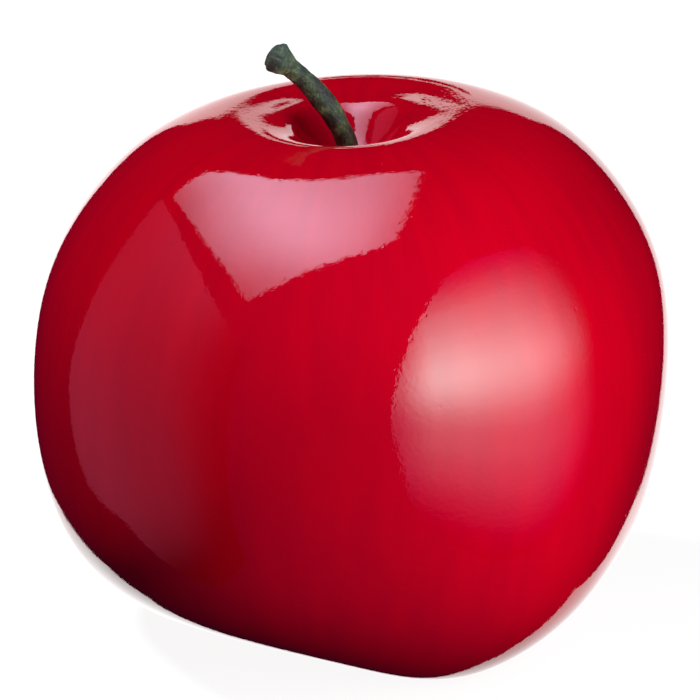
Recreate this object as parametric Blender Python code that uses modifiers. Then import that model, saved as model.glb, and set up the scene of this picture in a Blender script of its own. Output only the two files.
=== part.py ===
"""A whole red dessert apple with its stalk and its dried blossom end, at rest on the lobes of its base.

Run with: blender --background --python part.py

World frame: metres, +Z up. The origin is on the surface that the apple rests on, under the middle of
its outline. The stalk leans towards -X and -Y. Lengths below are in millimetres and are turned into
metres as each mesh is made. An azimuth is an angle round Z from +X, in degrees.
"""
import math

import bmesh
import bpy
from mathutils import Matrix, Vector

MM = 0.001

# Fruit: a cage of rings round Z, from the floor of the stalk pit, over the shoulder, to the eye basin
FRUIT_SEGMENTS = 20
FRUIT_SMOOTHING = 2
FRUIT_RINGS = (
    # radius, height, how much higher at +Y than on average, how much higher at +X and -X,
    # share of the ribs, of the feet, of the raised foot
    (0.0, 65.5, 0.0, 0.0, 0.0, 0.0, 0.0),    # floor of the stalk pit
    (3.0, 66.0, 0.0, 0.0, 0.0, 0.0, 0.0),    # throat of the pit
    (6.5, 69.5, 1.0, -0.2, 0.0, 0.0, 0.0),   # wall of the pit
    (8.0, 71.0, 1.6, 1.2, 0.0, 0.0, 0.0),    # lip of the pit
    (12.0, 72.0, 0.2, 0.0, 0.1, 0.0, 0.0),   # inside of the rim
    (18.0, 72.5, 1.8, 0.4, 0.3, 0.0, 0.0),   # crest of the rim
    (27.5, 68.0, -0.6, 1.6, 0.6, 0.0, 0.0),  # shoulder
    (36.0, 60.0, 0.2, 0.0, 0.8, 0.0, 0.0),   # upper side
    (42.0, 48.0, 0.0, 0.0, 1.0, 0.0, 0.0),   # widest part, upper ring
    (42.5, 30.0, 0.0, 0.0, 1.1, 0.1, 0.3),   # widest part, lower ring
    (39.0, 13.0, 0.0, 0.0, 1.2, 0.4, 0.8),   # lower side
    (29.5, 3.5, 0.0, 0.0, 1.2, 0.8, 1.0),    # heel
    (19.5, -1.0, 0.0, 0.0, 0.8, 1.0, 1.0),   # feet
    (10.5, 1.5, 0.0, 0.0, 0.3, 0.6, 0.7),    # inside of the feet
    (4.5, 6.5, 0.0, 0.0, 0.0, 0.1, 0.2),     # wall of the eye basin
    (0.0, 7.0, 0.0, 0.0, 0.0, 0.0, 0.0),     # floor of the eye basin
)
LOBES = 5
RIB_SHARE = 0.0325          # how far the ribs stand out, as a share of the radius
RIB_AZIMUTH_TOP = -60.0
RIB_AZIMUTH_FOOT = -52.0
FOOT_DROP = 0.8
RAISED_FOOT_LIFT = 6.0      # one lobe of the base hangs clear of the surface
RAISED_FOOT_AZIMUTH = 235.0
RAISED_FOOT_SHARPNESS = 12
SHOULDER_LEAN = 2.75        # degrees at SHOULDER_HEIGHT, growing evenly from the base
SHOULDER_HEIGHT = 70.0
FRUIT_MIDDLE_Y = -0.9       # brings the middle of the outline over the origin

# Clearance left round the roots of the stalk and of the eye
ROOT_GAP = 0.3

# Stalk: centre line from its root, then its radius at each of those points
STALK_LINE = ((0.0, 0.0, 60.0), (0.0, 0.0, 65.5), (-1.0, -1.0, 69.7), (-4.0, -2.5, 75.0),
              (-7.7, -4.8, 79.4), (-9.5, -6.0, 81.1))
STALK_RADII = (1.6, 1.5, 1.42, 1.5, 1.36, 2.2)

# Eye: the dried end of the blossom, five sepals round a short core
CORE_RADIUS = 2.6
CORE_TOP = 9.0
CORE_BOTTOM = 4.5
SEPALS = 5
SEPAL_DROP = 4.2            # how far the tips hang below the roots
SEPAL_WIDTH = 4.2
SEPAL_THICKNESS = 0.8
SEPAL_ROOT_RADIUS = 1.8
SEPAL_ROOT_HEIGHT = 5.1
SEPAL_SPREAD = 4.5          # how far the sepals swing outwards
SEPAL_CURL = 1.2            # and how far their tips come back in


def clear_scene():
    for thing in list(bpy.data.objects):
        bpy.data.objects.remove(thing, do_unlink=True)


def new_collection(name):
    group = bpy.data.collections.new(name)
    bpy.context.scene.collection.children.link(group)
    return group


def new_material(name, colour, roughness):
    material = bpy.data.materials.new(name)
    material.use_nodes = True
    surface = material.node_tree.nodes["Principled BSDF"]
    surface.inputs["Base Color"].default_value = (*colour, 1.0)
    surface.inputs["Roughness"].default_value = roughness
    surface.inputs["Metallic"].default_value = 0.0
    return material


def object_from_bmesh(name, bm, group, material=None):
    """Turns a bmesh in millimetres into a smooth-shaded object in metres."""
    bmesh.ops.recalc_face_normals(bm, faces=bm.faces)
    bmesh.ops.scale(bm, vec=Vector((MM, MM, MM)), verts=bm.verts)
    mesh = bpy.data.meshes.new(name)
    bm.to_mesh(mesh)
    bm.free()
    mesh.shade_smooth()
    if material:
        mesh.materials.append(material)
    thing = bpy.data.objects.new(name, mesh)
    group.objects.link(thing)
    return thing


def add_cutter(name, bm, group):
    cutter = object_from_bmesh(name, bm, group)
    cutter.hide_render = True
    cutter.display_type = "WIRE"
    return cutter


def cut(thing, cutter):
    modifier = thing.modifiers.new(cutter.name, "BOOLEAN")
    modifier.operation = "DIFFERENCE"
    modifier.object = cutter


def cylinder(radius, bottom, top, segments, middle_y=0.0):
    bm = bmesh.new()
    place = Matrix.Translation((0.0, middle_y, (bottom + top) / 2))
    bmesh.ops.create_cone(bm, cap_ends=True, segments=segments, radius1=radius, radius2=radius,
                          depth=top - bottom, matrix=place)
    return bm


def fruit_point(ring, azimuth):
    """Where the cage of the fruit has its point on one ring, at an azimuth in radians."""
    radius, height, back, saddle, rib, foot, raised = FRUIT_RINGS[ring]
    upper = height > SHOULDER_HEIGHT / 2
    rib_azimuth = math.radians(RIB_AZIMUTH_TOP if upper else RIB_AZIMUTH_FOOT)
    wave = math.cos(LOBES * (azimuth - rib_azimuth))
    foot_wave = math.cos(LOBES * (azimuth - math.radians(RIB_AZIMUTH_FOOT)))
    near_raised = 0.5 + 0.5 * math.cos(azimuth - math.radians(RAISED_FOOT_AZIMUTH))

    # A smoothed cage lies inside its corners by this share
    shrink = (2 + math.cos(math.tau / FRUIT_SEGMENTS)) / 3
    distance = radius / shrink * (1 + RIB_SHARE * rib * wave)
    x = distance * math.cos(azimuth)
    y = distance * math.sin(azimuth)

    z = height - FOOT_DROP * foot * foot_wave
    z += RAISED_FOOT_LIFT * raised * near_raised ** RAISED_FOOT_SHARPNESS
    z += back * math.sin(azimuth) + saddle * math.cos(2 * azimuth)
    up = min(max(height / SHOULDER_HEIGHT, 0.0), 1.0)
    z += x * math.tan(math.radians(SHOULDER_LEAN * up))
    return Vector((x, y + FRUIT_MIDDLE_Y, z))


def make_fruit(parts, cutters):
    """The fruit: a coarse sphere pulled into the apple's rings, smoothed, then cut."""
    bm = bmesh.new()
    last = len(FRUIT_RINGS) - 1
    bmesh.ops.create_uvsphere(bm, u_segments=FRUIT_SEGMENTS, v_segments=last, radius=1.0)
    for vertex in bm.verts:
        ring = round(vertex.co.angle(Vector((0.0, 0.0, 1.0))) / math.pi * last)
        vertex.co = fruit_point(ring, math.atan2(vertex.co.y, vertex.co.x))
    fruit = object_from_bmesh("fruit", bm, parts, new_material("skin", (0.52, 0.0, 0.015), 0.1))

    rounding = fruit.modifiers.new("rounding", "SUBSURF")
    rounding.levels = FRUIT_SMOOTHING
    rounding.render_levels = FRUIT_SMOOTHING

    stalk_hole = cylinder(STALK_RADII[0] + ROOT_GAP, STALK_LINE[0][2] - ROOT_GAP,
                          FRUIT_RINGS[2][1], 16, FRUIT_MIDDLE_Y)
    cut(fruit, add_cutter("stalk_hole", stalk_hole, cutters))
    eye_hole = cylinder(CORE_RADIUS + ROOT_GAP, 0.0, CORE_TOP + ROOT_GAP, 20, FRUIT_MIDDLE_Y)
    cut(fruit, add_cutter("eye_hole", eye_hole, cutters))

    # Flattens the feet where they meet the surface
    ground = bmesh.new()
    bmesh.ops.create_cube(ground, size=100.0, matrix=Matrix.Translation((0.0, 0.0, -50.0)))
    cut(fruit, add_cutter("ground", ground, cutters))


def make_stalk(parts):
    """The stalk: a bent rod that swells to a cut knob, rooted in the floor of the pit."""
    line = bpy.data.curves.new("stalk", "CURVE")
    line.dimensions = "3D"
    line.resolution_u = 4
    line.bevel_depth = MM
    line.bevel_resolution = 3
    line.use_fill_caps = True
    spline = line.splines.new("BEZIER")
    spline.bezier_points.add(len(STALK_LINE) - 1)
    for point, place, radius in zip(spline.bezier_points, STALK_LINE, STALK_RADII):
        point.co = (Vector(place) + Vector((0.0, FRUIT_MIDDLE_Y, 0.0))) * MM
        point.handle_left_type = "AUTO"
        point.handle_right_type = "AUTO"
        point.radius = radius
    line.materials.append(new_material("stalk", (0.07, 0.09, 0.05), 0.7))
    stalk = bpy.data.objects.new("stalk", line)
    parts.objects.link(stalk)
    # Joins the end faces to the side of the rod
    weld = stalk.modifiers.new("weld", "WELD")
    weld.merge_threshold = 0.001 * MM


def sepal_point(along, across):
    """A point of a sepal that grows towards +X: along runs from 0 to 1, across from -0.5 to 0.5."""
    width = SEPAL_WIDTH * (1 - along) ** 0.6 * (0.5 + along) + 0.5
    outwards = SEPAL_SPREAD * math.sin(math.pi * along * 0.75) - SEPAL_CURL * along ** 2
    x = SEPAL_ROOT_RADIUS + outwards
    z = SEPAL_ROOT_HEIGHT - SEPAL_DROP * along ** 1.5
    # A sepal is hollow towards the middle of the eye
    return Vector((x - 1.2 * across ** 2, width * across, z))


def make_sepal(number, group):
    bm = bmesh.new()
    bmesh.ops.create_grid(bm, x_segments=7, y_segments=4, size=0.5)
    for vertex in bm.verts:
        vertex.co = sepal_point(vertex.co.x + 0.5, vertex.co.y)
    turn = Matrix.Rotation(math.tau * number / SEPALS, 3, "Z")
    bmesh.ops.rotate(bm, verts=bm.verts, matrix=turn)
    bmesh.ops.translate(bm, verts=bm.verts, vec=Vector((0.0, FRUIT_MIDDLE_Y, 0.0)))
    sepal = object_from_bmesh(f"sepal_{number}", bm, group)
    wall = sepal.modifiers.new("wall", "SOLIDIFY")
    wall.thickness = SEPAL_THICKNESS * MM
    wall.offset = 0.0
    return sepal


def make_eye(parts):
    """The eye: five sepals joined to the core that holds them in the basin."""
    core = cylinder(CORE_RADIUS, CORE_BOTTOM, CORE_TOP, 20, FRUIT_MIDDLE_Y)
    eye = object_from_bmesh("eye", core, parts, new_material("eye", (0.10, 0.06, 0.03), 0.8))
    sepals = new_collection("sepals")
    for number in range(SEPALS):
        make_sepal(number, sepals)
    joining = eye.modifiers.new("joining", "BOOLEAN")
    joining.operation = "UNION"
    joining.operand_type = "COLLECTION"
    joining.collection = sepals

    depsgraph = bpy.context.evaluated_depsgraph_get()
    joined = bpy.data.meshes.new_from_object(eye.evaluated_get(depsgraph))
    eye.modifiers.clear()
    eye.data = joined
    for sepal in list(sepals.objects):
        bpy.data.objects.remove(sepal, do_unlink=True)
    bpy.data.collections.remove(sepals)


def main():
    clear_scene()
    parts = new_collection("apple")
    cutters = new_collection("cutters")
    make_fruit(parts, cutters)
    make_stalk(parts)
    make_eye(parts)


main()
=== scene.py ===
"""The looks of a whole red dessert apple: its waxed skin, its woody stalk and its dried blossom end.

Lengths are in metres. Tables of sizes are in modelled millimetres: MM turns one of them into metres at
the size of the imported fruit. An azimuth is an angle round Z from +X, in degrees.
"""

import math

import bpy
from mathutils import Matrix, Vector, noise
from mathutils.geometry import interpolate_bezier


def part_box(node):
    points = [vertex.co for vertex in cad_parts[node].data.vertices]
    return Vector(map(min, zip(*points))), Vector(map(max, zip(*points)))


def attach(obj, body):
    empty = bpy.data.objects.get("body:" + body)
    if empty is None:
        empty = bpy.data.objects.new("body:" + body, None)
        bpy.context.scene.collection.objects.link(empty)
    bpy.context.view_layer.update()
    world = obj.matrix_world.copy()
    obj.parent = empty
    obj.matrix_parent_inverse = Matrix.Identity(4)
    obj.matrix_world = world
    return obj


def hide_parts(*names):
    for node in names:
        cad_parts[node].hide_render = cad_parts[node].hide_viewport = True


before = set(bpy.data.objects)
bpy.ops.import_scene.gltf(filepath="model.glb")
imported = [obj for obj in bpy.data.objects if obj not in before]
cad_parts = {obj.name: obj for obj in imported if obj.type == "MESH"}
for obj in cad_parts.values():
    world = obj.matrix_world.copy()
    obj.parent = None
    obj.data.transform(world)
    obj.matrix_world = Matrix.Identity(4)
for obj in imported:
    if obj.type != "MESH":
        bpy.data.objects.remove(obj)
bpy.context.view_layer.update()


def srgb(red, green, blue):
    """A colour given on the 0 to 255 scale, as linear values."""
    def linear(level):
        share = level / 255
        return share / 12.92 if share <= 0.04045 else ((share + 0.055) / 1.055) ** 2.4
    return (linear(red), linear(green), linear(blue), 1.0)


# One modelled millimetre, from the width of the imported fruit
FRUIT_LOW, FRUIT_HIGH = (Vector(corner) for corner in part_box("fruit"))
MODELLED_WIDTH = 84.62
MM = (FRUIT_HIGH.x - FRUIT_LOW.x) / MODELLED_WIDTH

# Skin: rings round Z from the floor of the stalk pit, over the shoulder, to the floor of the eye basin
SKIN_SEGMENTS = 20
SKIN_SMOOTHING = 4
SKIN_RINGS = (
    # radius, height, how much higher at +Y than on average, how much higher at +X and -X,
    # share of the ribs, of the feet, of the raised foot
    (0.0, 65.5, 0.0, 0.0, 0.0, 0.0, 0.0),    # floor of the stalk pit
    (3.0, 66.0, 0.0, 0.0, 0.0, 0.0, 0.0),    # throat of the pit
    (6.5, 69.5, 1.0, -0.2, 0.0, 0.0, 0.0),   # wall of the pit
    (8.0, 71.0, 1.6, 1.2, 0.0, 0.0, 0.0),    # lip of the pit
    (12.0, 72.0, 0.2, 0.0, 0.1, 0.0, 0.0),   # inside of the rim
    (18.0, 72.5, 1.8, 0.4, 0.3, 0.0, 0.0),   # crest of the rim
    (27.5, 68.0, -0.6, 1.6, 0.6, 0.0, 0.0),  # shoulder
    (36.0, 60.0, 0.2, 0.0, 0.8, 0.0, 0.0),   # upper side
    (42.0, 48.0, 0.0, 0.0, 1.0, 0.0, 0.0),   # widest part, upper ring
    (42.5, 30.0, 0.0, 0.0, 1.1, 0.1, 0.3),   # widest part, lower ring
    (39.0, 13.0, 0.0, 0.0, 1.2, 0.4, 0.8),   # lower side
    (29.5, 3.5, 0.0, 0.0, 1.2, 0.8, 1.0),    # heel
    (19.5, -1.0, 0.0, 0.0, 0.8, 1.0, 1.0),   # feet
    (10.5, 1.5, 0.0, 0.0, 0.3, 0.6, 0.7),    # inside of the feet
    (4.5, 6.5, 0.0, 0.0, 0.0, 0.1, 0.2),     # wall of the eye basin
    (0.0, 7.0, 0.0, 0.0, 0.0, 0.0, 0.0),     # floor of the eye basin
)
LOBES = 5
RIB_SHARE = 0.0325
RIB_AZIMUTH_TOP = -60.0
RIB_AZIMUTH_FOOT = -52.0
FOOT_DROP = 0.8
RAISED_FOOT_LIFT = 6.0
RAISED_FOOT_AZIMUTH = 235.0
RAISED_FOOT_SHARPNESS = 12
SHOULDER_LEAN = 2.75
SHOULDER_HEIGHT = 70.0
CORE_Y = -0.9               # the line through pit and eye stands a little in front of the outline's middle
CORE = Vector((0.0, CORE_Y, 0.0))
PUCKER_DEPTH = 0.35         # five small folds of the skin round the eye
PUCKER_RADIUS = 6.5
PUCKER_REACH = 3.0

# Looks of the skin. A pair of numbers says where a change starts and where it ends
DARK_RED = (0.50, 0.0, 0.0115, 1.0)
BRIGHT_RED = (0.56, 0.0, 0.0105, 1.0)
# Painted shade: the darker red laid down the stalk pit
PIT_SHADE_RED = (0.30, 0.0, 0.010, 1.0)
EYE_BROWN = srgb(178, 120, 40)
MOTTLE_LEVELS = (0.35, 0.65)
CORE_RADII = (3.5, 13.0)    # from the line through pit and eye
EYE_HEIGHTS = (5.0, 12.0)
PIT_SHADE_HEIGHTS = (60.0, 66.0)
CROWN_HEIGHTS = (66.0, 70.5)
CROWN_RADII = (13.0, 20.0)
RIPPLED_SIDE = (-6.0, 10.0)  # the crown ripples more towards +X
RIPPLE_DEPTH = 0.07
PEEL_DEPTH = 0.009
DENT_RADII = (0.03, 0.09)   # as shares of the space between two dents
DENT_DEPTH = 0.006
SKIN_ROUGHNESS = 0.035
WAX_IOR = 1.5

# Stalk: centre line from its root, then its radius at each of those points
STALK_LINE = ((0.0, 0.0, 60.0), (0.0, 0.0, 65.5), (-1.0, -1.0, 69.7), (-4.0, -2.5, 75.0),
              (-7.7, -4.8, 79.4), (-9.4, -5.95, 81.0))
STALK_RADII = (1.45, 1.4, 1.36, 1.42, 1.28, 2.1)
STALK_STEPS = 24            # rings to each stretch of the line
STALK_SIDES_SHARE = 14      # bevel resolution, which gives 32 sides
RIDGE_DEPTH = 0.07          # as a share of the stalk's radius
RIDGES_ROUND = 1.7          # how fine the ridges are round the stalk
RIDGES_ALONG = 0.22
GRAIN_DEPTH = 0.035
GRAIN_ROUND = 4.5
GRAIN_ALONG = 0.9
END_CORE = 0.2              # points this near the centre line belong to the end faces' middles
END_DISH = 0.16
END_RIM = 0.35
WELD_GAP = 0.01             # an end face's corners join the side within this distance

# Looks of the stalk, from its darkest patches to its palest
BARK_STOPS = ((0.42, srgb(9, 10, 8)), (0.475, srgb(27, 36, 25)),
              (0.53, srgb(53, 70, 46)), (0.6, srgb(104, 124, 86)))
END_GREEN = srgb(76, 100, 86)
END_HEIGHTS = (78.0, 81.5)
# Painted shade: the stalk's root, down in the pit, is darkened towards near black
ROOT_SHADE_DARK = srgb(16, 18, 12)
ROOT_SHADE_HEIGHTS = (67.0, 73.5)
STALK_RELIEF = 0.22
STALK_ROUGHNESS = 0.62

# Eye: five dry sepals round a cup that holds the withered stamens
SEPALS = 5
SEPAL_LENGTH_STEPS = 14
SEPAL_WIDTH_STEPS = 8
SEPAL_WIDTH = 3.4
SEPAL_TIP_WIDTH = 0.12
SEPAL_ROOT_RADIUS = 1.7
SEPAL_ROOT_HEIGHT = 7.4
SEPAL_DROP = 5.2
SEPAL_SPREAD = 4.0
SEPAL_CURL = 1.4
SEPAL_HOLLOW = 1.1
SEPAL_THICKNESS = 0.35
SEPAL_WRINKLE = 0.22
CUP_SIDES = 32
CUP_RADIUS = 2.1
CUP_DEPTH = 1.9
CUP_WALL = 0.35
CUP_HOLLOW = 0.8            # as a share of its depth
CUP_FLOOR_RIM = 0.9
CUP_EDGE = 0.12
STAMENS = 13
STAMEN_RINGS = (0.75, 1.15)
STAMEN_SINK = 0.6
STAMEN_SWAY = 0.7
STAMEN_SEED = 1             # of the sway, which would differ at each run without it
STAMEN_RADIUS = 0.16
STAMEN_SWELLING = (1.0, 0.75, 1.7)
STAMEN_LENGTH = 3.0
STAMEN_STEPS = 6
STAMEN_SIDES_SHARE = 2      # bevel resolution, which gives 8 sides
DRY_RELIEF = 0.15
DRY_ROUGHNESS = 0.8

# Camera: upright, looking a little down on the fruit, and aimed at the middle of its picture
TARGET = Vector((0.0, CORE_Y, 39.55)) * MM
CAMERA_DISTANCE = 600 * MM
CAMERA_ELEVATION = 18.0
LENS = 233.0

# Studio
PANEL_DISTANCE = 3.0        # the panels stand far off, so their places work as directions
FLOOR_SIZE = 4.0
WHITE = (1.0, 1.0, 1.0, 1.0)
FLOOR_GREY = (0.18, 0.18, 0.18, 1.0)
FLOOR_GLOW = 0.92
BACKDROP_GLOW = 0.97
LIGHT_FROM_BELOW = 0.14
ROOM_MAUVE = (0.9, 0.08, 0.85, 1.0)
ROOM_GLOW_FRONT = 0.09      # what the gloss shows of the room in front, over what it shows all round
ROOM_GLOW = 0.015
PINK_WHITE = (0.86, 0.76, 1.02, 1.0)
ROSE_RED = (1.0, 0.19, 0.42, 1.0)
COOL_WHITE = (0.66, 0.87, 0.82, 1.0)
HAZE_MAGENTA = (1.0, 0.0, 0.9, 1.0)
WARM_WHITE = (1.0, 0.94, 0.94, 1.0)

X = Vector((1.0, 0.0, 0.0))
Y = Vector((0.0, 1.0, 0.0))
Z = Vector((0.0, 0.0, 1.0))
FRONT = (X - Y).normalized()
FRONT_RIGHT = (X + Y).normalized()

# Panel outlines, each on a plane that stands one unit away from the apple: a place to the right, then up
OVERHEAD_OUTLINE = ((-.91, .83), (-.79, .85), (-.64, .87), (-.45, .90), (-.3, .82), (-.17, .67),
                    (-.11, .65), (-.04, .71), (.05, .72), (.07, .4), (.07, .05), (.05, -.16),
                    (-.02, -.25), (-.19, -.4), (-.45, -.63), (-.67, -.76), (-.66, -.3), (-.72, .06),
                    (-.79, .38))
SIDE_OUTLINE = ((.92, .92), (.83, .73), (.75, .59), (.72, .45), (.7, .2), (.71, .02), (.8, -.17),
                (.9, -.36), (.92, -.5), (.87, -.58), (.75, -.63), (.57, -.65), (.38, -.67), (.26, -.72),
                (.2, -.8), (.1, -.95), (0.0, -1.15), (-.12, -1.46), (-.3, -2.0), (-1.6, -2.0),
                (-1.6, .8), (-1.1, 1.0), (-.67, 1.08), (-.25, 1.12), (.17, 1.07), (.52, 1.03))
FRONT_OUTLINE = ((-.83, -.24), (-.76, -.4), (-.66, -.62), (-.5, -.78), (0.0, -.86), (.4, -.84),
                 (.8, -.8), (1.2, -.76), (1.5, -.66), (1.8, -.4), (1.9, 0.0), (2.05, .43), (2.0, .8),
                 (1.75, 1.12), (1.3, 1.38), (.8, 1.5), (.3, 1.6), (-.13, 1.45), (-.44, 1.1),
                 (-.68, .72), (-.81, .32), (-.85, 0.0))
REAR_OUTLINE = ((-.25, .3), (-.2, .36), (-.13, .42), (-.1, .41), (-.07, .4), (-.035, .41), (0.0, .43),
                (.03, .43), (.03, .36), (-.034, .35), (-.034, .2), (.015, .2), (.035, .43), (.12, .43),
                (.3, .38), (.36, .2), (.42, .05), (.47, -.08), (.47, -.3), (.42, -.46), (.59, -.66),
                (1.05, -1.17), (.6, -1.45), (.27, -1.3), (.12, -1.05), (0.0, -.74), (-.14, -.72),
                (-.26, -.78), (-.375, -.86), (-.48, -.75), (-.4, -.5), (-.2, -.36), (-.28, -.2),
                (-.31, -.08), (-.25, .04))

# The torn edge of the overhead panel, on the same scale as the outlines
TEAR_STEP = 0.018
TEAR_DEPTH = 0.017

# How each panel's light falls off along one side of it: pairs of a place and a share of the light
OVERHEAD_ACROSS = ((-0.91, 0.2), (-0.6, 0.46), (-0.4, 0.75), (-0.2, 1.0), (-0.05, 0.67), (0.07, 0.3))
OVERHEAD_DEPTH = ((-0.76, 0.55), (-0.6, 0.55), (-0.4, 0.72), (-0.1, 1.0), (0.2, 0.95), (0.5, 0.73),
                  (0.9, 0.55))
SIDE_DEPTH = ((-1.5, 0.0), (-1.0, 0.4), (-0.5, 1.0), (0.1, 1.0), (0.5, 0.74), (0.92, 0.45))
SIDE_HEIGHT = ((-2.0, 0.03), (-1.2, 0.09), (-0.6, 0.58), (0.5, 0.6), (1.12, 1.0))
FRONT_ACROSS = ((-0.86, 0.2), (-0.75, 0.33), (-0.5, 1.0), (0.0, 0.85), (0.5, 0.58), (1.0, 0.26),
                (1.5, 0.07), (2.0, 0.0))
FRONT_HEIGHT = ((-0.68, 0.0), (-0.5, 0.06), (-0.35, 0.15), (-0.2, 0.25), (-0.1, 0.46), (0.0, 0.74),
                (0.1, 0.94), (0.2, 1.0), (0.3, 0.9), (0.45, 0.7), (0.6, 0.52), (0.9, 0.27),
                (1.2, 0.08), (1.6, 0.0))
REAR_HEIGHT = ((-1.5, 0.85), (-1.0, 0.85), (0.1, 1.0), (0.36, 1.0), (0.44, 0.75))


# Finishes

class Level:
    """A value socket of a finish. Python's operators on it add Math nodes."""

    def __init__(self, finish, socket):
        self.finish = finish
        self.socket = socket

    def _maths(self, operation, first, second):
        return self.finish.node("ShaderNodeMath", {"operation": operation}, {0: first, 1: second})

    def __add__(self, other):
        return self._maths("ADD", self, other)

    def __radd__(self, other):
        return self._maths("ADD", other, self)

    def __sub__(self, other):
        return self._maths("SUBTRACT", self, other)

    def __rsub__(self, other):
        return self._maths("SUBTRACT", other, self)

    def __mul__(self, other):
        return self._maths("MULTIPLY", self, other)

    def __rmul__(self, other):
        return self._maths("MULTIPLY", other, self)

    def __truediv__(self, other):
        return self._maths("DIVIDE", self, other)

    def __pow__(self, other):
        return self._maths("POWER", self, other)


class Finish:
    """A material, or the world, whose nodes are being put together."""

    def __init__(self, owner):
        self.owner = owner
        owner.use_nodes = True
        self.tree = owner.node_tree

    def put(self, target, value):
        """Sets a socket to a number, or links it to a Level."""
        if isinstance(value, Level):
            self.tree.links.new(value.socket, target)
        else:
            target.default_value = value

    def node(self, kind, settings=None, sockets=None, output=0):
        """Adds a node: its settings first, then its sockets. Gives back one of its outputs."""
        made = self.tree.nodes.new(kind)
        for name, value in (settings or {}).items():
            if name == "stops":
                ramp = made.color_ramp
                while len(ramp.elements) < len(value):
                    ramp.elements.new(0.5)
                for stop, (place, colour) in zip(ramp.elements, value):
                    stop.position = place
                    stop.color = colour
            elif name == "interpolation":
                made.color_ramp.interpolation = value
            else:
                setattr(made, name, value)
        for name, value in (sockets or {}).items():
            self.put(made.inputs[name], value)
        return Level(self, made.outputs[output])

    def place(self, stretch=(1.0, 1.0, 1.0), shift=(0.0, 0.0, 0.0)):
        """Object coordinates in modelled millimetres, each axis times its stretch."""
        coordinates = self.node("ShaderNodeTexCoord", output="Object")
        return self.node("ShaderNodeMapping", {}, {
            "Vector": coordinates, "Location": shift, "Scale": [share / MM for share in stretch]})

    def axes(self, vector):
        return [self.node("ShaderNodeSeparateXYZ", {}, {0: vector}, axis) for axis in range(3)]

    def speckle(self, place, scale, detail=2.0, roughness=0.5):
        """Soft noise from 0 to 1."""
        return self.node("ShaderNodeTexNoise", {}, {
            "Vector": place, "Scale": scale, "Detail": detail, "Roughness": roughness})

    def step(self, level, low, high):
        """0 below low and 1 above high, with a soft change between."""
        return self.node("ShaderNodeMapRange", {"interpolation_type": "SMOOTHSTEP"}, {
            "Value": level, "From Min": low, "From Max": high})

    def blend(self, factor, first, second):
        return self.node("ShaderNodeMix", {"data_type": "RGBA"}, {0: factor, 6: first, 7: second}, 2)

    def bump(self, height, depth, under=None):
        """A Normal output. Depth is in modelled millimetres for a height of 1."""
        sockets = {"Height": height, "Distance": depth * MM, "Strength": 1.0}
        if under:
            sockets["Normal"] = under
        return self.node("ShaderNodeBump", {}, sockets)

    def surface(self, **sockets):
        """Sets the sockets of the material's Principled shader."""
        shader = self.tree.nodes["Principled BSDF"]
        for name, value in sockets.items():
            self.put(shader.inputs[name.replace("_", " ")], value)


def skin_finish():
    """Deep red waxed skin: faint streaks from pit to eye, and a clear hard gloss."""
    skin = Finish(bpy.data.materials.new("waxed_red_skin"))
    place = skin.place(shift=(0.0, -CORE_Y, 0.0))
    x, y, z = skin.axes(place)
    radius = (x * x + y * y + 1.0) ** 0.5
    around = skin.node("ShaderNodeCombineXYZ", {}, {0: x / radius, 1: y / radius, 2: z * 0.006})
    streaks = skin.speckle(around, 11.0, 4.0, 0.6)
    blotches = skin.speckle(place, 0.045, 2.0)
    mottle = skin.step(streaks * 0.7 + blotches * 0.3, *MOTTLE_LEVELS)
    red = skin.blend(mottle, DARK_RED, BRIGHT_RED)

    # The skin pales towards the eye. Down the pit it is darkened a little, which is painted shade
    near_core = 1.0 - skin.step(radius, *CORE_RADII)
    near_eye = near_core * (1.0 - skin.step(z, *EYE_HEIGHTS))
    # Painted shade: how much the pit is darkened, from its depth near the core
    pit_shade = near_core * skin.step(z, *PIT_SHADE_HEIGHTS)
    tone = skin.blend(pit_shade * 0.35, red, PIT_SHADE_RED)
    tone = skin.blend(near_eye * (0.35 + streaks * 0.5), tone, EYE_BROWN)

    # Radial ripples round the pit, and all over the skin a soft unevenness with a few small dents
    crown = skin.step(z, *CROWN_HEIGHTS) * (1.0 - skin.step(radius, *CROWN_RADII))
    rippled_side = 0.35 + skin.step(x, *RIPPLED_SIDE) * 0.65
    ripples = skin.speckle(skin.node("ShaderNodeCombineXYZ", {}, {
        0: x / radius * 2.2, 1: y / radius * 2.2, 2: radius * 0.55}), 1.0, 3.0, 0.6)
    peel = skin.speckle(place, 1.5, 2.0, 0.5)
    cells = skin.node("ShaderNodeTexVoronoi", {"feature": "F1"}, {
        "Vector": place, "Scale": 0.33}, "Distance")
    dents = 1.0 - skin.step(cells, *DENT_RADII)
    relief = skin.bump(dents, -DENT_DEPTH)
    relief = skin.bump(ripples * crown * rippled_side, RIPPLE_DEPTH, relief)
    relief = skin.bump(peel, PEEL_DEPTH, relief)
    skin.surface(Base_Color=tone, Roughness=SKIN_ROUGHNESS, IOR=WAX_IOR, Normal=relief)
    return skin.owner


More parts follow.
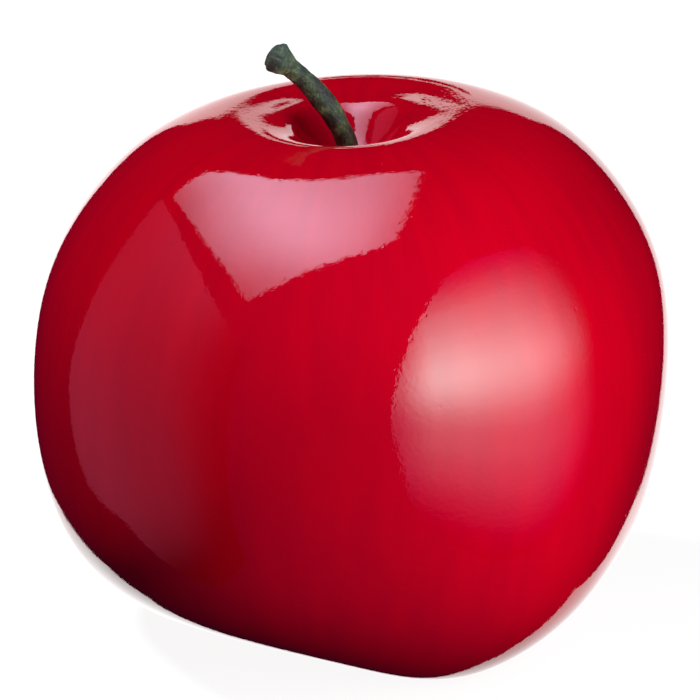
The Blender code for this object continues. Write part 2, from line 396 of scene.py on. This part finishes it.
def stalk_finish():
    """Rough wood, grey-green with olive and brown-black patches, paler at the cut end, and darkened towards
    its root down in the pit, which is painted shade.
    """
    stalk = Finish(bpy.data.materials.new("stalk_wood"))
    place = stalk.place()
    z = stalk.axes(place)[2]
    patches = stalk.speckle(place, 0.55, 4.0, 0.65)
    fibres = stalk.speckle(stalk.place(stretch=(1.0, 1.0, 0.3)), 3.2, 3.0, 0.6)
    flecks = stalk.speckle(place, 2.6, 3.0, 0.7)

    bark = stalk.node("ShaderNodeValToRGB", {"stops": BARK_STOPS},
                      {"Fac": patches * 0.55 + fibres * 0.2 + flecks * 0.25})
    near_end = stalk.step(z, *END_HEIGHTS)
    # Painted shade over the part of the stalk that stands in the pit
    root_shade = 1.0 - stalk.step(z, *ROOT_SHADE_HEIGHTS)
    tone = stalk.blend(near_end * 0.35, bark, END_GREEN)
    tone = stalk.blend(root_shade * 0.7, tone, ROOT_SHADE_DARK)
    relief = stalk.bump(flecks * 0.5 + fibres * 0.5, STALK_RELIEF)
    stalk.surface(Base_Color=tone, Roughness=STALK_ROUGHNESS, Normal=relief)
    return stalk.owner


def dry_finish(name, dark, pale):
    """Dry brown tissue with fine veins."""
    dry = Finish(bpy.data.materials.new(name))
    place = dry.place()
    fibres = dry.speckle(dry.place(stretch=(1.0, 1.0, 0.35)), 2.4, 4.0, 0.65)
    tone = dry.node("ShaderNodeValToRGB", {"stops": ((0.35, dark), (0.65, pale))}, {"Fac": fibres})
    relief = dry.bump(dry.speckle(place, 3.0, 3.0, 0.7), DRY_RELIEF)
    dry.surface(Base_Color=tone, Roughness=DRY_ROUGHNESS, Normal=relief)
    return dry.owner


# Modelling

def only(piece):
    """Makes one object the active one, and the only one selected."""
    bpy.ops.object.select_all(action="DESELECT")
    piece.select_set(True)
    bpy.context.view_layer.objects.active = piece


def newest(name):
    """The object that an operator has just added, named."""
    piece = bpy.context.active_object
    piece.name = name
    piece.data.name = name
    return piece


def finish_modifier(piece, kind, **settings):
    """Adds a modifier and applies it."""
    modifier = piece.modifiers.new(kind.lower(), kind)
    for name, value in settings.items():
        setattr(modifier, name, value)
    only(piece)
    bpy.ops.object.modifier_apply(modifier=modifier.name)


def fit_to_box(piece, low, high):
    """Stretches a mesh by a hair, so that it fills a box exactly."""
    points = [vertex.co for vertex in piece.data.vertices]
    for axis in range(3):
        start = min(point[axis] for point in points)
        end = max(point[axis] for point in points)
        share = (high[axis] - low[axis]) / (end - start)
        for point in points:
            point[axis] = low[axis] + (point[axis] - start) * share


def dress(piece, finish, node):
    """Gives a piece its finish, and ties it to the solid that it stands for."""
    piece.data.materials.clear()
    piece.data.materials.append(finish)
    only(piece)
    bpy.ops.object.shade_smooth()
    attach(piece, "root")
    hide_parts(node)


def skin_point(ring, azimuth):
    """Where the coarse skin has its point on one ring, at an azimuth in radians."""
    radius, height, back, saddle, rib, foot, raised = SKIN_RINGS[ring]
    upper = height > SHOULDER_HEIGHT / 2
    rib_azimuth = math.radians(RIB_AZIMUTH_TOP if upper else RIB_AZIMUTH_FOOT)
    wave = math.cos(LOBES * (azimuth - rib_azimuth))
    foot_wave = math.cos(LOBES * (azimuth - math.radians(RIB_AZIMUTH_FOOT)))
    near_raised = 0.5 + 0.5 * math.cos(azimuth - math.radians(RAISED_FOOT_AZIMUTH))

    # A smoothed ring lies inside its corners by this share
    shrink = (2 + math.cos(math.tau / SKIN_SEGMENTS)) / 3
    distance = radius / shrink * (1 + RIB_SHARE * rib * wave)
    x = distance * math.cos(azimuth)
    y = distance * math.sin(azimuth)

    z = height - FOOT_DROP * foot * foot_wave
    z += RAISED_FOOT_LIFT * raised * near_raised ** RAISED_FOOT_SHARPNESS
    z += back * math.sin(azimuth) + saddle * math.cos(2 * azimuth)
    up = min(max(height / SHOULDER_HEIGHT, 0.0), 1.0)
    z += x * math.tan(math.radians(SHOULDER_LEAN * up))
    return Vector((x, y + CORE_Y, z)) * MM


def pucker(point):
    """Draws the skin round the eye into five small folds."""
    x = point.x / MM
    y = point.y / MM - CORE_Y
    if point.z > SHOULDER_HEIGHT / 2 * MM:
        return
    radius = math.hypot(x, y)
    share = math.exp(-((radius - PUCKER_RADIUS) / PUCKER_REACH) ** 2)
    wave = math.cos(LOBES * math.atan2(y, x) + math.pi)
    point.z += PUCKER_DEPTH * MM * share * wave


def model_skin():
    """The skin: a coarse sphere whose rings are drawn to the apple's form, then rounded."""
    bpy.ops.object.select_all(action="DESELECT")
    last = len(SKIN_RINGS) - 1
    bpy.ops.mesh.primitive_uv_sphere_add(segments=SKIN_SEGMENTS, ring_count=last, radius=1.0)
    skin = newest("fruit_skin")
    for vertex in skin.data.vertices:
        ring = round(vertex.co.angle(Z) / math.pi * last)
        vertex.co = skin_point(ring, math.atan2(vertex.co.y, vertex.co.x))
    finish_modifier(skin, "SUBSURF", levels=SKIN_SMOOTHING, render_levels=SKIN_SMOOTHING)

    for vertex in skin.data.vertices:
        pucker(vertex.co)
        # The feet are pressed flat where they meet the surface
        vertex.co.z = max(vertex.co.z, 0.0)
    fit_to_box(skin, FRUIT_LOW, FRUIT_HIGH)
    dress(skin, skin_finish(), "fruit")


def bent_rod(name, places, shares, radius, steps, sides_share):
    """A round rod along a smooth line, as a curve. At each place it has a share of the radius."""
    bpy.ops.object.select_all(action="DESELECT")
    bpy.ops.curve.primitive_bezier_curve_add()
    rod = newest(name)
    line = rod.data
    line.dimensions = "3D"
    line.resolution_u = steps
    line.bevel_depth = radius * MM
    line.bevel_resolution = sides_share
    line.use_fill_caps = True
    points = line.splines[0].bezier_points
    points.add(len(places) - len(points))
    for point, place, share in zip(points, places, shares):
        point.co = (Vector(place) + CORE) * MM
        point.handle_left_type = "AUTO"
        point.handle_right_type = "AUTO"
        point.radius = share
    return rod


def rod_mesh(rod):
    """Makes a rod a closed mesh, with its end faces joined to its side."""
    name = rod.name
    only(rod)
    bpy.ops.object.convert(target="MESH")
    rod = newest(name)
    bpy.ops.object.mode_set(mode="EDIT")
    bpy.ops.mesh.select_all(action="SELECT")
    bpy.ops.mesh.remove_doubles(threshold=WELD_GAP * MM)
    bpy.ops.mesh.normals_make_consistent(inside=False)
    bpy.ops.mesh.select_all(action="DESELECT")
    bpy.ops.object.mode_set(mode="OBJECT")
    return rod


def curve_samples(points, count):
    """Points along a Bezier spline, with how far along the line each lies."""
    samples = []
    for start, end in zip(points[:-1], points[1:]):
        samples += interpolate_bezier(start.co, start.handle_right, end.handle_left, end.co, count)[:-1]
    samples.append(points[-1].co.copy())
    lengths = [0.0]
    for before, after in zip(samples[:-1], samples[1:]):
        lengths.append(lengths[-1] + (after - before).length)
    return samples, lengths


def roughen_stalk(stalk, samples, lengths):
    """Gives the stalk long ridges and fine grain, by moving its points away from its centre line."""
    for vertex in stalk.data.vertices:
        near = min(range(len(samples)), key=lambda k: (samples[k] - vertex.co).length_squared)
        outwards = vertex.co - samples[near]
        if outwards.length < END_CORE * MM:
            continue
        direction = outwards.normalized()
        along = Vector((0.0, 0.0, lengths[near] / MM))
        ridges = noise.noise(direction * RIDGES_ROUND + along * RIDGES_ALONG)
        grain = noise.noise(direction * GRAIN_ROUND + along * GRAIN_ALONG)
        vertex.co = samples[near] + outwards * (1 + RIDGE_DEPTH * ridges * 2 + GRAIN_DEPTH * grain * 2)


def model_stalk():
    """The stalk: a bent rod that swells to a cut knob with a sunken face."""
    rod = bent_rod("stalk_wood", STALK_LINE, STALK_RADII, 1.0, STALK_STEPS, STALK_SIDES_SHARE)
    bpy.context.view_layer.update()
    samples, lengths = curve_samples(rod.data.splines[0].bezier_points, STALK_STEPS + 1)
    tip = samples[-1].copy()
    heading = (samples[-1] - samples[-2]).normalized()
    stalk = rod_mesh(rod)

    # The cut face: a rounded rim, then a shallow dish
    for face in stalk.data.polygons:
        face.select = face.normal.dot(heading) > 0.9 and (face.center - tip).length < MM
    bpy.ops.object.mode_set(mode="EDIT")
    bpy.ops.mesh.select_mode(type="FACE")
    bpy.ops.mesh.inset(thickness=END_RIM * MM)
    bpy.ops.transform.translate(value=heading * END_DISH * MM)
    bpy.ops.mesh.inset(thickness=END_RIM * MM)
    bpy.ops.transform.translate(value=-heading * END_DISH * MM)
    bpy.ops.mesh.inset(thickness=END_RIM * MM)
    bpy.ops.mesh.select_all(action="SELECT")
    bpy.ops.mesh.normals_make_consistent(inside=False)
    bpy.ops.object.mode_set(mode="OBJECT")
    roughen_stalk(stalk, samples, lengths)
    dress(stalk, stalk_finish(), "stalk")


def sepal_point(along, across, number):
    """A point of a sepal that grows towards +X: along runs from 0 to 1, across from -0.5 to 0.5."""
    width = SEPAL_WIDTH * (1 - along) ** 0.7 * (0.6 + 0.9 * along) + SEPAL_TIP_WIDTH
    x = SEPAL_ROOT_RADIUS + SEPAL_SPREAD * math.sin(math.pi * along * 0.72) - SEPAL_CURL * along ** 3
    z = SEPAL_ROOT_HEIGHT - SEPAL_DROP * along ** 1.35
    wrinkle = noise.noise(Vector((along * 3.0, across * 5.0, number * 7.3)))
    x -= SEPAL_HOLLOW * (2 * across) ** 2 * (0.4 + 0.6 * along)
    return Vector((x + SEPAL_WRINKLE * wrinkle * 2, width * across, z + SEPAL_WRINKLE * wrinkle))


def model_sepals():
    """The sepals: each a flat leaf drawn to its own curled form, turned to its place and given a wall."""
    sepals = []
    for number in range(SEPALS):
        bpy.ops.object.select_all(action="DESELECT")
        bpy.ops.mesh.primitive_grid_add(x_subdivisions=SEPAL_LENGTH_STEPS,
                                        y_subdivisions=SEPAL_WIDTH_STEPS, size=1.0)
        sepal = newest(f"sepal_{number}")
        turn = Matrix.Rotation(math.tau * number / SEPALS, 3, "Z")
        for vertex in sepal.data.vertices:
            point = turn @ sepal_point(vertex.co.x + 0.5, vertex.co.y, number)
            vertex.co = (point + CORE) * MM
        finish_modifier(sepal, "SOLIDIFY", thickness=SEPAL_THICKNESS * MM, offset=0.0)
        finish_modifier(sepal, "SUBSURF", levels=1, render_levels=1)
        sepals.append(sepal)
    return sepals


def model_cup():
    """The cup that the sepals and stamens grow from: a short drum, hollowed from below."""
    bpy.ops.object.select_all(action="DESELECT")
    bpy.ops.mesh.primitive_cylinder_add(vertices=CUP_SIDES, radius=CUP_RADIUS * MM, depth=CUP_DEPTH * MM,
                                        location=Vector((0.0, CORE_Y, SEPAL_ROOT_HEIGHT)) * MM)
    cup = newest("cup")
    bpy.ops.object.transform_apply(location=True, rotation=True, scale=True)
    for face in cup.data.polygons:
        face.select = face.normal.z < -0.9
    bpy.ops.object.mode_set(mode="EDIT")
    bpy.ops.mesh.select_mode(type="FACE")
    bpy.ops.mesh.inset(thickness=CUP_WALL * MM)
    bpy.ops.mesh.extrude_region_move(
        TRANSFORM_OT_translate={"value": (0.0, 0.0, CUP_HOLLOW * CUP_DEPTH * MM)})
    bpy.ops.mesh.inset(thickness=CUP_FLOOR_RIM * MM)
    bpy.ops.mesh.select_all(action="DESELECT")
    bpy.ops.object.mode_set(mode="OBJECT")
    finish_modifier(cup, "BEVEL", width=CUP_EDGE * MM, segments=2)
    return cup


def model_stamens():
    """The withered stamens: thin bent threads with a swollen end each."""
    stamens = []
    noise.seed_set(STAMEN_SEED)
    for number in range(STAMENS):
        azimuth = math.tau * (number + 0.35 * noise.noise(Vector((number * 1.7, 0.0, 0.0)))) / STAMENS
        ring = STAMEN_RINGS[number % 2]
        sway = noise.noise_vector(Vector((number * 2.3, 1.0, 4.0))) * STAMEN_SWAY
        root = Vector((ring * math.cos(azimuth), ring * math.sin(azimuth), SEPAL_ROOT_HEIGHT + STAMEN_SINK))
        length = STAMEN_LENGTH * (0.8 + 0.4 * noise.noise(Vector((number * 3.1, 5.0, 0.0))))
        end = root + Vector((sway.x, sway.y, -length))
        thread = bent_rod(f"stamen_{number}", (root, root.lerp(end, 0.8), end), STAMEN_SWELLING,
                          STAMEN_RADIUS, STAMEN_STEPS, STAMEN_SIDES_SHARE)
        stamens.append(rod_mesh(thread))
    return stamens


def join(pieces, name):
    """Makes several objects one, with its origin at the world's."""
    bpy.ops.object.select_all(action="DESELECT")
    for piece in pieces:
        piece.select_set(True)
    bpy.context.view_layer.objects.active = pieces[0]
    bpy.ops.object.join()
    whole = newest(name)
    bpy.ops.object.transform_apply(location=True, rotation=True, scale=True)
    return whole


def model_eye():
    """The dried eye, in two pieces: the sepals with their cup, and the stamens."""
    sepals = join([model_cup()] + model_sepals(), "eye_sepals")
    dress(sepals, dry_finish("dry_sepals", srgb(62, 44, 26), srgb(138, 110, 70)), "eye")
    stamens = join(model_stamens(), "eye_stamens")
    dress(stamens, dry_finish("withered_stamens", srgb(34, 24, 16), srgb(88, 64, 38)), "eye")


# The studio

def glow(name, colour, strength):
    """A material that only gives light."""
    light = Finish(bpy.data.materials.new(name))
    light.tree.nodes.remove(light.tree.nodes["Principled BSDF"])
    emission = light.node("ShaderNodeEmission", {}, {"Color": colour, "Strength": strength})
    light.tree.links.new(emission.socket, light.tree.nodes["Material Output"].inputs["Surface"])
    light.owner.cycles.emission_sampling = "NONE"
    return light


def torn(outline):
    """An outline with a fine uneven edge, like that of torn paper."""
    edge = []
    for (across, height), (next_across, next_height) in zip(outline, outline[1:] + outline[:1]):
        length = math.hypot(next_across - across, next_height - height)
        steps = max(1, round(length / TEAR_STEP))
        for step in range(steps):
            share = step / steps
            number = len(edge)
            # Two waves of unlike lengths, so that the tears don't look regular
            wave = 0.6 * math.sin(number * 2.4) + 0.4 * math.sin(number * 5.3 + across * 9.0)
            depth = TEAR_DEPTH * wave
            edge.append((across + (next_across - across) * share - (next_height - height) / length * depth,
                         height + (next_height - height) * share + (next_across - across) / length * depth))
    return tuple(edge)


def panel(name, centre, right, up, outline, colour, strength):
    """A studio panel that only the gloss reflects.

    Its plane is set by a centre and two directions, and its outline is given along those two.
    """
    bpy.ops.object.select_all(action="DESELECT")
    bpy.ops.mesh.primitive_circle_add(vertices=len(outline), radius=1.0, fill_type="NGON")
    board = newest(name)
    for vertex, (across, height) in zip(board.data.vertices, outline):
        vertex.co = Vector((across, height, 0.0))
    facing = right.cross(up)
    turn = Matrix((right, up, facing)).transposed().to_4x4()
    away = Matrix.Translation(TARGET + centre * PANEL_DISTANCE)
    board.matrix_world = away @ turn @ Matrix.Scale(PANEL_DISTANCE, 4)
    light = glow(name, colour, strength)
    board.data.materials.append(light.owner)
    board.visible_camera = False
    board.visible_diffuse = False
    board.visible_shadow = False
    return light


def fade(light, axis, curve):
    """Multiplies a panel's strength by a curve along one axis of its plane: a share at each place."""
    emission = next(n for n in light.tree.nodes if n.type == "EMISSION")
    if emission.inputs["Strength"].is_linked:
        strength = Level(light, emission.inputs["Strength"].links[0].from_socket)
    else:
        strength = emission.inputs["Strength"].default_value
    start, end = curve[0][0], curve[-1][0]
    places = light.axes(light.node("ShaderNodeTexCoord", output="Object"))
    stops = [((place - start) / (end - start), (level, level, level, 1.0)) for place, level in curve]
    share = light.node("ShaderNodeValToRGB", {"stops": stops, "interpolation": "CARDINAL"},
                       {"Fac": (places[axis] - start) / (end - start)})
    light.put(emission.inputs["Strength"], share * strength)


def haze(light, colour, strength, across_range, height_range):
    """Adds a second colour to a panel, which fades out towards its right and its lower edge."""
    first = next(n for n in light.tree.nodes if n.type == "EMISSION")
    across, height, _ = light.axes(light.node("ShaderNodeTexCoord", output="Object"))
    level = (1.0 - light.step(across, *across_range)) * light.step(height, *height_range) * strength
    second = light.node("ShaderNodeEmission", {}, {"Color": colour, "Strength": level})
    both = light.node("ShaderNodeAddShader", {}, {0: Level(light, first.outputs[0]), 1: second})
    light.put(light.tree.nodes["Material Output"].inputs["Surface"], both)


def light_studio():
    """Hangs the four panels that the skin mirrors."""
    overhead = panel("overhead_panel", Z, X, Y, torn(OVERHEAD_OUTLINE), PINK_WHITE, strength=8.0)
    fade(overhead, 0, OVERHEAD_ACROSS)
    fade(overhead, 1, OVERHEAD_DEPTH)
    side = panel("side_panel", -X, Y, Z, SIDE_OUTLINE, ROSE_RED, strength=1.3)
    fade(side, 0, SIDE_DEPTH)
    fade(side, 1, SIDE_HEIGHT)
    front = panel("front_panel", FRONT, FRONT_RIGHT, Z, FRONT_OUTLINE, COOL_WHITE, strength=11.3)
    fade(front, 0, FRONT_ACROSS)
    fade(front, 1, FRONT_HEIGHT)
    haze(front, HAZE_MAGENTA, 0.6, across_range=(0.4, 2.1), height_range=(-0.86, -0.45))
    rear = panel("rear_panel", Y, X, Z, REAR_OUTLINE, WARM_WHITE, strength=1.5)
    fade(rear, 1, REAR_HEIGHT)


def area_light(name, azimuth, elevation, distance, size, power):
    """A soft round lamp aimed at the apple, which the gloss doesn't show."""
    azimuth, elevation = math.radians(azimuth), math.radians(elevation)
    away = Vector((math.cos(elevation) * math.cos(azimuth), math.cos(elevation) * math.sin(azimuth),
                   math.sin(elevation)))
    lamp = bpy.data.lights.new(name, "AREA")
    lamp.shape = "DISK"
    lamp.size = size
    lamp.energy = power
    holder = bpy.data.objects.new(name, lamp)
    bpy.context.scene.collection.objects.link(holder)
    holder.location = TARGET + away * distance
    holder.rotation_euler = (-away).to_track_quat("-Z", "Y").to_euler()
    holder.visible_glossy = False
    holder.visible_camera = False


def make_floor():
    """A plain pale floor, which the gloss doesn't show, and which is clear from below."""
    bpy.ops.object.select_all(action="DESELECT")
    bpy.ops.mesh.primitive_plane_add(size=FLOOR_SIZE)
    floor = newest("pale_floor")
    paper = Finish(bpy.data.materials.new("pale_floor"))
    shader = paper.tree.nodes["Principled BSDF"]
    paper.surface(Base_Color=FLOOR_GREY, Roughness=1.0, Specular_IOR_Level=0.0,
                  Emission_Color=WHITE, Emission_Strength=FLOOR_GLOW)
    clear = paper.node("ShaderNodeBsdfTransparent")
    under = paper.node("ShaderNodeNewGeometry", output="Backfacing")
    cover = paper.node("ShaderNodeMixShader", {}, {0: under, 1: Level(paper, shader.outputs[0]), 2: clear})
    paper.put(paper.tree.nodes["Material Output"].inputs["Surface"], cover)
    paper.owner.cycles.emission_sampling = "NONE"
    floor.data.materials.append(paper.owner)
    floor.visible_glossy = False
    floor.visible_diffuse = False


def make_world():
    """Pale behind the apple, faint light from below, and to the gloss a dark room, dim mauve in front."""
    world = bpy.data.worlds.new("studio")
    bpy.context.scene.world = world
    room = Finish(world)
    seen = room.node("ShaderNodeLightPath", output="Is Camera Ray")
    gloss = room.node("ShaderNodeLightPath", output="Is Glossy Ray")
    _, depth, up = room.axes(room.node("ShaderNodeTexCoord", output="Generated"))
    ambient = (1.0 - room.step(up, -0.3, 0.3)) * LIGHT_FROM_BELOW
    mirrored = (1.0 - room.step(depth, -0.8, 0.7)) * ROOM_GLOW_FRONT + ROOM_GLOW
    strength = seen * BACKDROP_GLOW + (1.0 - seen) * ((1.0 - gloss) * ambient + gloss * mirrored)
    background = room.tree.nodes["Background"]
    room.put(background.inputs["Color"], room.blend(gloss, WHITE, ROOM_MAUVE))
    room.put(background.inputs["Strength"], strength)


def make_camera():
    """A long lens in front of the apple, aimed at the middle of its picture."""
    lens = bpy.data.cameras.new("camera")
    lens.lens = LENS
    camera = bpy.data.objects.new("camera", lens)
    bpy.context.scene.collection.objects.link(camera)
    elevation = math.radians(CAMERA_ELEVATION)
    back = Vector((0.0, -math.cos(elevation), math.sin(elevation)))
    camera.location = TARGET + back * CAMERA_DISTANCE
    camera.rotation_euler = (-back).to_track_quat("-Z", "Y").to_euler()
    bpy.context.scene.camera = camera


make_camera()
model_skin()
model_stalk()
model_eye()
make_floor()
make_world()
light_studio()
area_light("key", azimuth=-50.0, elevation=11.0, distance=0.145, size=0.174, power=0.26)
area_light("top", azimuth=176.0, elevation=54.0, distance=1.6, size=0.32, power=21.7)
bpy.context.scene.view_settings.view_transform = "Standard"
